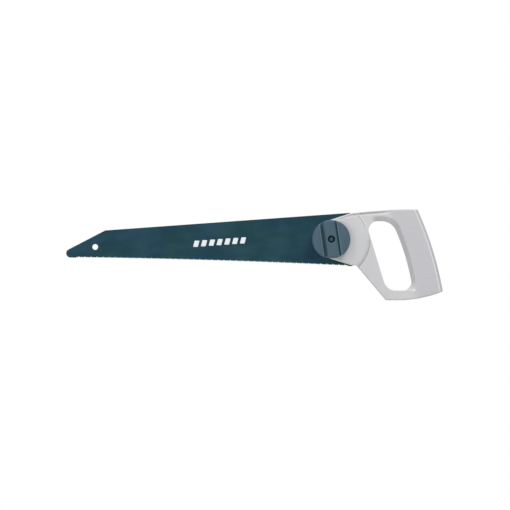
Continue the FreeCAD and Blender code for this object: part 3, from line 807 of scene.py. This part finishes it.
def make_print():
    shell = Shell()
    for number in range(PRINT_BARS):
        shift = (number - (PRINT_BARS - 1) / 2) * BAR_STEP
        x = PRINT_CENTRE[0] + shift
        z = PRINT_CENTRE[1] + shift * math.tan(BACK_SLOPE)
        half, high = BAR_WIDTH / 2, BAR_HEIGHT / 2
        corners = [(x + across * half + up * BAR_SLANT / 2, z + up * high, BAR_ROUND, 0)
                   for across, up in ((-1, -1), (-1, 1), (1, 1), (1, -1))]
        row = rounded_outline(corners, 0.35)
        under = shell.ring(row, -HALF_BLADE - INK_GAP)
        top = shell.ring(row, -HALF_BLADE - INK)
        shell.wall(under, top)
        shell.fill(under)
        shell.fill(top)
    return shell.piece("blade_print", "blade", None, WHITE_PRINT)


bars = make_print()

# %% [markdown]
# ## The casting
#
# The handle is one die casting: two cheeks with a slot for the blade, a raised round boss
# about the pivot, and a D-shaped grip. It could be sculpted, but its look lies in how wide
# each edge is rounded: wide where fingers wrap round it, tight along the arm. So its faces
# are drawn as heights that fall away with the distance from each edge.

# %% Outline and finger opening
HALF_HANDLE = 11.0
HANDLE_CORNERS = [
    (-7.8, 24.8, 0, 0),
    (29.6, 37.0, 4.0, 1.3),
    (*GRIP_TOP, 2.4, GRIP_BOW),
    (*GRIP_LOW, 2.8, 2.4),
    (100.0, -85.3, 10.0, 0),
    (77.2, -85.3, 3.0, 0),
    (36.2, -36.7, 2.0, 0),
    (29.6, -36.7, 3.0, 0),
    (-7.8, -24.8, 0, 18.2),
]
OPENING_CORNERS = [
    (48.1, 25.3, 12.5, 0),
    (85.4, 25.3, 24.0, 3.8),
    (114.8, -71.1, 11.0, 0),
    (77.5, -71.1, 17.0, 0),
]
outside = rounded_outline(HANDLE_CORNERS, 0.9)
opening = rounded_outline(OPENING_CORNERS, 0.8)


def outward(row):
    """For each point of a clockwise row, the direction out of its left side."""
    along = np.roll(row, -1, axis=0) - np.roll(row, 1, axis=0)
    along /= np.hypot(*along.T)[:, None]
    return np.column_stack([-along[:, 1], along[:, 0]])


OUTSIDE_WAY = outward(outside)
OPENING_WAY = outward(opening)
print(len(outside), "points outside,", len(opening), "round the opening")

# %% [markdown]
# Heights are easiest as a flat face minus whatever falls away. `soft_step` turns a measure
# into a smooth share from 0 to 1, and `rounding` is the drop over a rounded edge.

# %% Heights of the casting's two faces
SLOT_SIDE = HALF_WIDTH + 2.2
SLOT_END = END_RADIUS + 1.0
SLOT_HALF = HALF_BLADE + 0.25
BOSS_EDGE, BOSS_FOOT = 50.4, 54.4
BOSS_RISE = -CASTING_FRONT - HALF_HANDLE
LIP_LINE = np.array([(9.0, 26.9), (25.3, 32.4), (35.5, 34.7), (65.0, 37.2), (84.0, 38.6)])
LIP_DEPTH = [(8.0, 0.0), (13.0, 0.45), (26.0, 0.6), (36.0, 1.0), (72.0, 1.0), (85.0, 0.0)]
CREASES = [((112.6, 13.2), (124.0, 13.9)), ((129.8, -56.8), (152.6, -53.2)),
           ((135.5, -74.6), (150.0, -75.5))]
BACK_BAND = 4.2
GRIP_FALL = 2.4


def soft_step(value, low, high):
    share = np.clip((value - low) / (high - low), 0, 1)
    return share * share * (3 - 2 * share)


def rounding(distance, width, depth):
    """Drop of an edge rounded over a width, deepest at the edge itself."""
    share = np.clip(1 - distance / width, 0, 1)
    return depth * (1 - np.sqrt(1 - share ** 2))


def groove(distance, width):
    """Share of a groove's depth at a distance from its middle."""
    return np.exp(-(distance / width) ** 2)


def edge_drop(places):
    """What both faces lose at the outside and around the finger opening, and the back ridge's
    share.
    """
    outer, nearest = distance_to(outside, places)
    way = OUTSIDE_WAY[nearest]
    nose = soft_step(-way[:, 0], 0.1, 0.25) * (places[:, 1] > 0)
    drop = rounding(outer, 1.8 + 1.4 * nose, 1.6 + 0.9 * nose)
    back = ARC_RADIUS - np.hypot(*(places - ARC_CENTRE).T)
    drop += 3.0 * np.clip(1 - back / BACK_BAND, 0, 1)
    under = soft_step(-way[:, 1], 0.85, 0.98)
    drop += under * 0.7 * np.clip(1 - outer / 2.6, 0, 1)
    rim, nearest = distance_to(opening, places)
    way = OPENING_WAY[nearest]
    fingers = soft_step(way @ np.array([0.8, 0.6]), -0.05, 0.6)
    drop += (1 - fingers) * rounding(rim, 1.2, 1.0)
    width = 5.4 + 2.2 * soft_step(way[:, 1], 0.0, 0.8)
    depth = 4.0 + 4.4 * soft_step(places[:, 1], -76, -50)
    drop += fingers * depth * np.clip(1 - rim / width, 0, 1) ** 1.3
    across = places[:, 0] + 0.31 * places[:, 1]
    drop += GRIP_FALL * soft_step(across, 62, 96) * np.clip((129 - across) / 38, 0, 1)
    return drop, groove(back - BACK_BAND, 0.75)


def above_lip(places):
    """Height over the groove that runs under the handle's top edge."""
    return places[:, 1] - np.interp(places[:, 0], *LIP_LINE.T)


def boss_step(places):
    """Height of the boss over the handle, with a fine line at its edge and at its foot."""
    radius = np.hypot(*places.T)
    turn = np.degrees(np.arctan2(places[:, 1], places[:, 0]))
    step = BOSS_RISE * np.clip((BOSS_FOOT - radius) / (BOSS_FOOT - BOSS_EDGE), 0, 1)
    upper = soft_step(turn, -2, 22) * soft_step(-above_lip(places), 0.6, 2.8)
    step -= 1.5 * upper * groove(radius - BOSS_EDGE + 0.5, 0.75)
    step += 0.5 * upper * groove(radius - BOSS_FOOT + 1.2, 0.9)
    step -= 1.6 * soft_step(-turn, -8, 8) * groove(radius - BOSS_FOOT, 0.7)
    return step


def front_height(places):
    drop, ridge = edge_drop(places)
    height = HALF_HANDLE + boss_step(places) + 0.3 * ridge
    above = above_lip(places)
    strength = np.interp(places[:, 0], *np.array(LIP_DEPTH).T)
    height -= strength * 3.6 * groove(above, 1.05)
    height -= strength * 0.6 * np.clip(above, 0, 3)
    for begin, end in CREASES:
        gap, _ = distance_to(np.array((begin, end)), places, closed=False)
        height -= 0.16 * groove(gap, 0.5)
    pin = np.hypot(places[:, 0] - PIN_MARK[0], places[:, 1] - PIN_MARK[1])
    height += 0.3 * (1 - soft_step(pin, PIN_RADIUS - 0.5, PIN_RADIUS))
    return -(height - drop)


def back_height(places):
    return HALF_HANDLE - edge_drop(places)[0]


print("boss stands", round(BOSS_RISE, 2), "mm above the handle")

# %% [markdown]
# The net needs more places where the surface bends. Along each edge it gets rows that come
# closer together towards the edge. The groove under the top edge and the boss's edge and foot
# get close rows of their own, and the rest is an even grid. Places that come too close to
# each other are thinned out.

# %% Places of the casting's net
LIP_ROWS, BOSS_ROWS = 0.45, 0.34
OUTER_GAPS = (0.25, 0.6, 1.0, 1.4, 1.9, 2.7, 3.4, 3.8, 4.2, 4.6, 5.1)
RIM_GAPS = (0.3, 0.7, 1.2, 1.9, 2.7, 3.6, 4.6, 5.6, 6.4, 7.2, 7.8)
GRID_STEP, GRID_GAP = 1.7, 0.9


def rows_beside(row, ways, gaps):
    return np.vstack([row + ways * gap for gap in gaps])


def casting_places(detail):
    """Places for the net of one face; detail adds what only the front has."""
    lines = []
    if detail:
        along = np.arange(8, 86, 0.8)
        line = np.column_stack([along, np.interp(along, *LIP_LINE.T)])
        lines += [line + (0, LIP_ROWS * shift) for shift in range(-5, 6)]
        for middle in (BOSS_EDGE - 0.5, BOSS_FOOT):
            radii = [middle + BOSS_ROWS * shift for shift in range(-5, 6)]
            lines += [circle(radius, count=560) for radius in radii]
        lines += [circle(radius, PIN_MARK, 24) for radius in (PIN_RADIUS, 1.7, 0.8, 2.6)]
        for begin, end in CREASES:
            lines += [arc_side(begin, end, 0, 0.8) + (0, shift) for shift in (0, 0.5, -0.5)]
    beside = usable(np.vstack([rows_beside(outside, -OUTSIDE_WAY, OUTER_GAPS),
                               rows_beside(opening, OPENING_WAY, RIM_GAPS)]))
    grid = (usable(triangle_grid(outside, GRID_STEP)), GRID_GAP)
    if detail:
        return thin_out([(usable(np.vstack(lines)), 0.3), (beside, 0.34), grid])
    return thin_out([(beside, 0.25), grid])


def usable(places):
    """The places that lie on the casting's face and clear of its edges."""
    places = places[inside(outside, places) & ~inside(opening, places)]
    clear = np.minimum(distance_to(outside, places)[0], distance_to(opening, places)[0])
    return places[clear > 0.2]


# %% [markdown]
# Behind the knob the front cheek is bored out in steps: a wide recess for the locking plate,
# a well for the spring, two peg guides and the seat of the bush. The back cheek has the rest
# of the bush's seat and a square hole. All of these are circles bridged by short walls.

# %% The casting
RECESS_RADIUS, RECESS_FLOOR = 21.0, -6.0
WELL_RADIUS = 9.2
GUIDE_RADIUS = 2.05
BOLT_HOLE = 4.1
NECK_HALF = 4.3
NECK_START = 6.0
SEAM_ROWS = (-0.4, 0, 0.4)
SEAM_STANDS = 0.15


def square(half, count=48):
    """A square row with as many points as a circle, in the same order."""
    turn = np.arange(count) * 2 * math.pi / count
    x, z = np.cos(turn), np.sin(turn)
    reach = half / np.maximum(abs(x), abs(z))
    return np.column_stack([x * reach, z * reach])


def stepped_bore(shell):
    """Front recess, spring well, peg guides and bush seat; returns the rings they end on."""
    mouth_row = circle(RECESS_RADIUS, count=96)
    mouth = shell.ring(mouth_row, CASTING_FRONT)
    floor = shell.ring(mouth_row, RECESS_FLOOR)
    shell.wall(mouth, floor)
    well_row = circle(WELL_RADIUS, count=60)
    well = shell.ring(well_row, RECESS_FLOOR)
    bottom = shell.ring(well_row, BUSH_FRONT)
    shell.wall(well, bottom)
    seat_row = circle(BUSH_RADIUS, count=48)
    seat = shell.ring(seat_row, BUSH_FRONT)
    shell.fill(bottom, [seat])
    front_slot = [shell.ring(seat_row, -SLOT_HALF)]
    shell.wall(seat, front_slot[0])
    guides = []
    for side in (-INDEX_CIRCLE, INDEX_CIRCLE):
        guide_row = circle(GUIDE_RADIUS, (side, 0), 24)
        guides.append(shell.ring(guide_row, RECESS_FLOOR))
        front_slot.append(shell.ring(guide_row, -SLOT_HALF))
        shell.wall(guides[-1], front_slot[-1])
    shell.fill(floor, [well, *guides])
    back_slot = shell.ring(seat_row, SLOT_HALF)
    deep = shell.ring(seat_row, BUSH_BACK)
    shell.wall(back_slot, deep)
    bolt_row = circle(BOLT_HOLE, count=48)
    bolt = shell.ring(bolt_row, BUSH_BACK)
    shell.fill(deep, [bolt])
    bolt_end = shell.ring(bolt_row, NECK_START)
    shell.wall(bolt, bolt_end)
    neck = shell.ring(square(NECK_HALF), NECK_START)
    shell.fill(neck, [bolt_end])
    neck_end = shell.ring(square(NECK_HALF), HALF_HANDLE)
    shell.wall(neck, neck_end)
    return mouth, front_slot, [back_slot], neck_end


def make_casting():
    shell = Shell()
    mouth, front_slot, back_slot, neck_end = stepped_bore(shell)
    front = shell.ring(outside, front_height(outside))
    back = shell.ring(outside, back_height(outside))
    hole_front = shell.ring(opening, front_height(opening))
    hole_back = shell.ring(opening, back_height(opening))
    places = casting_places(True)
    places = places[np.hypot(*places.T) > RECESS_RADIUS + 0.4]
    shell.fill(front, [hole_front, mouth], places, front_height)
    places = casting_places(False)
    places = places[np.hypot(*places.T) > NECK_HALF * 1.5]
    shell.fill(back, [hole_back, neck_end], places, back_height)
    shell.wall(hole_front, hole_back)
    slot_sides(shell, front, back, front_slot, back_slot)
    return shell.piece("cast_handle", "handle", "handle_casting", CASTING_PAINT, 32)


def slot_sides(shell, front, back, front_holes, back_holes):
    """The outer wall, split by the slot in front and joined by the casting's seam behind."""
    near = shell.ring(outside, -SLOT_HALF)
    far = shell.ring(outside, SLOT_HALF)
    shell.wall(front, near)
    shell.wall(far, back)
    count = len(outside)
    solid = np.flatnonzero(outside[:, 0] > SLOT_SIDE)
    first, last = int(solid[0]), int(solid[-1])
    rows = [near]
    for depth in SEAM_ROWS:
        stands = np.full(count, SEAM_STANDS if depth == 0 else 0.0)
        stands[[first, last]] = 0
        rows.append(shell.ring(outside + OUTSIDE_WAY * stands[:, None], depth))
    rows.append(far)
    for one, other in zip(rows, rows[1:]):
        shell.wall(one[first:last + 1], other[first:last + 1], closed=False)
    root = slot_root(outside[last], outside[first])
    near_root = shell.ring(root, -SLOT_HALF)
    far_root = shell.ring(root, SLOT_HALF)
    shell.wall(near_root, far_root, closed=False)
    for end, corner in ((last, 0), (first, -1)):
        side = [row[end] for row in rows]
        shell.faces.append((*side, far_root[corner], near_root[corner]))
    cheeks = [n % count for n in range(last, first + count + 1)]
    shell.fill([near[n] for n in cheeks] + near_root[::-1], front_holes)
    shell.fill([far[n] for n in cheeks] + far_root[::-1], back_holes)


def slot_root(low, high):
    """The slot's closed side, from the handle's underside to its top."""
    bend = math.sqrt(SLOT_END ** 2 - SLOT_SIDE ** 2)
    turns = np.linspace(-math.atan2(bend, SLOT_SIDE), math.atan2(bend, SLOT_SIDE), 40)
    curve = SLOT_END * np.column_stack([np.cos(turns), np.sin(turns)])
    below = (low + curve[0]) / 2
    beyond = (high + curve[-1]) / 2
    return np.vstack([below, curve, beyond])


casting = make_casting()

# %% [markdown]
# ## The knob
#
# The knob is a moulding that a thumb and finger turn: a bar stands right across it, with a
# groove on each side for the fingertips and a domed shoulder outside each groove. A profile
# across the bar says it all, so the face is that profile pulled along the bar, and then
# rounded at the rim.

# %% The knob's face
KNOB_RADIUS = 26.6
KNOB_GAP = 1.55
KNOB_RIM = CASTING_FRONT - KNOB_GAP
KNOB_HUB = 13.0
SLEEVE_RADIUS = 7.0
WINDOW_RADIUS = 5.0
RIM_COUNT, WINDOW_COUNT = 320, 48
SKIRT = 0.5
FINE_ROWS, WIDE_ROWS = 0.28, 1.0
BAR_PROFILE = np.array([
    (-27.0, 9.6), (-19.0, 6.5), (-15.6, 5.7), (-14.9, 6.3), (-14.1, 4.6), (-13.0, 4.5),
    (-12.3, 7.8), (-10.6, 8.3), (-7.6, 0.0), (7.2, 0.0), (8.6, 6.0), (9.4, 6.4),
    (10.5, 3.8), (11.8, 3.7), (19.0, 5.6), (27.0, 9.6),
])


def profile_drop(across):
    """Drop of the knob's face over the distance from the bar's middle, with soft corners."""
    shifts = np.linspace(-0.4, 0.4, 9)
    return np.mean([np.interp(across + shift, *BAR_PROFILE.T) for shift in shifts], axis=0)


def knob_height(places):
    across = places[:, 0] * math.cos(BAR_TILT) + places[:, 1] * math.sin(BAR_TILT)
    radius = np.hypot(*places.T)
    drop = profile_drop(across)
    shoulder = soft_step(abs(across), 9.0, 13.0)
    drop += rounding(KNOB_RADIUS - radius, 3.0 - 1.0 * shoulder, 2.6 - 1.0 * shoulder)
    drop += 0.9 * rounding(radius - WINDOW_RADIUS, 0.9, 0.8)
    return KNOB_FACE + drop


def knob_places():
    """Rows along the bar, close together over the two grooves, between rings at both rims."""
    rim = [circle(radius, count=RIM_COUNT) for radius in (26.4, 26.1, 25.7, 25.2, 24.6)]
    rim += [circle(radius, count=WINDOW_COUNT) for radius in (5.2, 5.45, 5.8)]
    bands = [(-26, -16.4, WIDE_ROWS), (-16.2, -6.7, FINE_ROWS), (-5.8, 6.3, WIDE_ROWS),
             (6.7, 12.6, FINE_ROWS), (13.4, 26, WIDE_ROWS)]
    across = np.concatenate([np.arange(*band) for band in bands])
    along = np.arange(-26, 26, 0.7)
    side, run = (grid.ravel() for grid in np.meshgrid(across, along))
    rows = np.column_stack([side * math.cos(BAR_TILT) - run * math.sin(BAR_TILT),
                            side * math.sin(BAR_TILT) + run * math.cos(BAR_TILT)])
    radius = np.hypot(*rows.T)
    return np.vstack(rim + [rows[(radius < 24.2) & (radius > 6.3)]])


def make_knob():
    shell = Shell()
    rim_row = circle(KNOB_RADIUS, count=RIM_COUNT)
    window_row = circle(WINDOW_RADIUS, count=WINDOW_COUNT)
    edge_depths = knob_height(rim_row)
    face = shell.ring(rim_row, edge_depths)
    window = shell.ring(window_row, knob_height(window_row))
    shell.fill(face, [window], knob_places(), knob_height)
    above = face
    for share in (0.35, 0.7, 1):
        below = shell.ring(rim_row, edge_depths + (KNOB_RIM - SKIRT - edge_depths) * share)
        shell.wall(above, below)
        above = below
    lip = shell.ring(circle(KNOB_RADIUS - SKIRT, count=RIM_COUNT), KNOB_RIM)
    shell.wall(above, lip)
    hub_row = circle(KNOB_HUB, count=72)
    root = shell.ring(hub_row, KNOB_RIM)
    shell.fill(lip, [root])
    hub = shell.ring(hub_row, HUB_END)
    shell.wall(root, hub)
    sleeve_row = circle(SLEEVE_RADIUS, count=48)
    mouth = shell.ring(sleeve_row, HUB_END)
    shell.fill(hub, [mouth])
    end = shell.ring(sleeve_row, INSERT_FRONT)
    shell.wall(mouth, end)
    throat = shell.ring(window_row, INSERT_FRONT)
    shell.fill(end, [throat])
    shell.wall(throat, window)
    return shell.piece("grip_knob", "knob", "knob_moulding", KNOB_PLASTIC, 40)


knob = make_knob()

# %% [markdown]
# ## The pivot bolt
#
# A cup-square bolt: its domed head shows on the back, a square neck keeps it from turning,
# and its threaded end shows in the knob's window. A thread is a groove that climbs as it
# goes round, so each point's radius depends on both its turn and its height.

# %% The bolt
BOLT_RADIUS = 4.0
THREAD_PITCH, THREAD_DEPTH = 1.25, 0.55
HEAD_RADIUS, HEAD_BREAK, HEAD_SIDE = 10.0, 0.3, 0.9
BOLT_NECK = 4.2
BOLT_COUNT = 48


def thread_row(depth):
    """One ring of the thread at a depth along the axis."""
    turn = np.arange(BOLT_COUNT) * 2 * math.pi / BOLT_COUNT
    phase = (depth / THREAD_PITCH + turn / (2 * math.pi)) % 1
    fade = min(1, max(0, (depth - BOLT_TIP) / 1.2)) * min(1, max(0, (-3 - depth) / 1.5))
    start = 1.6 * max(0, 1 - (depth - BOLT_TIP) / 1.2)
    radius = BOLT_RADIUS - THREAD_DEPTH * fade * abs(1 - 2 * phase) - start
    return np.column_stack([radius * np.cos(turn), radius * np.sin(turn)])


def make_bolt():
    shell = Shell()
    depths = np.arange(BOLT_TIP, NECK_START, THREAD_PITCH / 6)
    rows = [(thread_row(depth), depth) for depth in depths]
    rows += [
        (circle(BOLT_RADIUS, count=BOLT_COUNT), NECK_START),
        (square(BOLT_NECK), NECK_START),
        (square(BOLT_NECK), HALF_HANDLE),
        (circle(HEAD_RADIUS - HEAD_BREAK, count=BOLT_COUNT), HALF_HANDLE),
        (circle(HEAD_RADIUS, count=BOLT_COUNT), HALF_HANDLE + HEAD_BREAK),
    ]
    rise = BOLT_TOP - HALF_HANDLE - HEAD_SIDE
    for lift in np.linspace(0, 1, 12)[:-1]:
        dome = circle(HEAD_RADIUS * math.sqrt(1 - lift ** 2), count=BOLT_COUNT)
        rows.append((dome, HALF_HANDLE + HEAD_SIDE + rise * lift))
    rows.append((circle(0.8, count=BOLT_COUNT), BOLT_TOP))
    rings = [shell.ring(row, depth) for row, depth in rows]
    for one, other in zip(rings, rings[1:]):
        shell.wall(one, other)
    shell.fill(rings[0])
    shell.fill(rings[-1])
    return shell.piece("cup_square_bolt", "handle", "pivot_bolt", BLACK_STEEL, 30)


bolt = make_bolt()

# %% [markdown]
# ## Pieces that stay as they are
#
# The bush, the locking plate with its pegs, the washer, the spring and the threaded insert have
# their right shapes already. They only need a finish.

# %% Finishes for the frame's own pieces
STAYING = {
    "pivot_bush": BRIGHT_STEEL,
    "locking_peg_left": BRIGHT_STEEL,
    "locking_peg_right": BRIGHT_STEEL,
    "locking_plate": ZINC,
    "thrust_washer": ZINC,
    "release_spring": SPRING_STEEL,
    "knob_insert": BLACK_STEEL,
}
for node, finish in STAYING.items():
    mesh = frame["nodes"][node].data
    mesh.materials.clear()
    mesh.materials.append(finish)
print("finished", len(STAYING), "inner pieces")

# %% [markdown]
# ## Floor
#
# The blade can swing down until it points at the ground, so the small pale floor lies well
# below the saw.

# %% Floor
FLOOR_DROP, FLOOR_RADIUS = 0.46, 0.42


def make_floor(middle):
    mesh = bpy.data.meshes.new("floor")
    form = bmesh.new()
    bmesh.ops.create_circle(form, cap_ends=True, segments=96, radius=FLOOR_RADIUS)
    form.to_mesh(mesh)
    form.free()
    floor = bpy.data.objects.new("floor", mesh)
    floor.location = (middle.x, 0, middle.z - FLOOR_DROP)
    bpy.context.collection.objects.link(floor)
    finish = Finish("pale_floor")
    grain = finish.noise(60, 2.0)
    colour = finish.blend(grain, shade(240, 240, 239), shade(246, 246, 246))
    mesh.materials.append(finish.coat(Base_Color=colour, Roughness=0.8 + 0.1 * grain))


low, high = (Vector(corner) for corner in cad_box)
make_floor((low + high) / 2)
print("floor", round(FLOOR_DROP, 2), "m below the middle")

# %% [markdown]
# ## Light
#
# The saw stands out against white, in even light. One soft light from the upper right shapes
# the rounded edges, a weaker one from the left and one from behind lift the other sides, and
# the white surroundings fill the shadows.

# %% Light
BACKDROP, AMBIENT = 1.0, 0.60
VIEW_MIDDLE = Vector((-0.106, 0, -0.022))
LIGHTS = [
    ("key_light", (0.7, -1.2, 1.3), 0.7, 15),
    ("fill_light", (-1.1, -1.3, 0.5), 0.9, 5),
    ("back_light", (0.3, 1.3, 1.0), 0.9, 10),
]


def add_light(name, place, target, size, power):
    lamp = bpy.data.lights.new(name, "AREA")
    lamp.shape = "DISK"
    lamp.size = size
    lamp.energy = power
    holder = bpy.data.objects.new(name, lamp)
    holder.location = place
    holder.rotation_euler = (target - Vector(place)).to_track_quat("-Z", "Y").to_euler()
    bpy.context.collection.objects.link(holder)


def light_world(backdrop, ambient):
    """White surroundings: bright behind the saw, and softer as light on it."""
    world = bpy.data.worlds.new("studio")
    bpy.context.scene.world = world
    world.use_nodes = True
    tree = world.node_tree
    path = tree.nodes.new("ShaderNodeLightPath")
    level = tree.nodes.new("ShaderNodeMapRange")
    level.inputs["To Min"].default_value = ambient
    level.inputs["To Max"].default_value = backdrop
    tree.links.new(path.outputs["Is Camera Ray"], level.inputs["Value"])
    tree.links.new(level.outputs[0], tree.nodes["Background"].inputs["Strength"])
    tree.nodes["Background"].inputs["Color"].default_value = (1, 1, 1, 1)


middle = pivot + VIEW_MIDDLE
light_world(BACKDROP, AMBIENT)
for name, (right, toward, up), size, power in LIGHTS:
    add_light(name, (middle.x + right, toward, up), middle, size, power)
print(len(LIGHTS), "lights")

# %% [markdown]
# ## Camera
#
# A long lens from far away shows a flat thing without leaning edges. It looks straight at
# the blade's side.

# %% Camera
LENS = 160.0
VIEW_WIDTH = 0.714
SENSOR = 36.0


def add_camera(target):
    camera = bpy.data.objects.new("camera", bpy.data.cameras.new("camera"))
    camera.data.lens = LENS
    camera.data.sensor_width = SENSOR
    camera.location = target - Vector((0, VIEW_WIDTH * LENS / SENSOR, 0))
    camera.rotation_euler = (math.pi / 2, 0, 0)
    camera.data.clip_start = 0.01
    bpy.context.collection.objects.link(camera)
    bpy.context.scene.camera = camera
    return camera


camera = add_camera(middle)
bpy.context.scene.view_settings.view_transform = "Standard"
print("camera", round(-camera.location.y, 3), "m away")
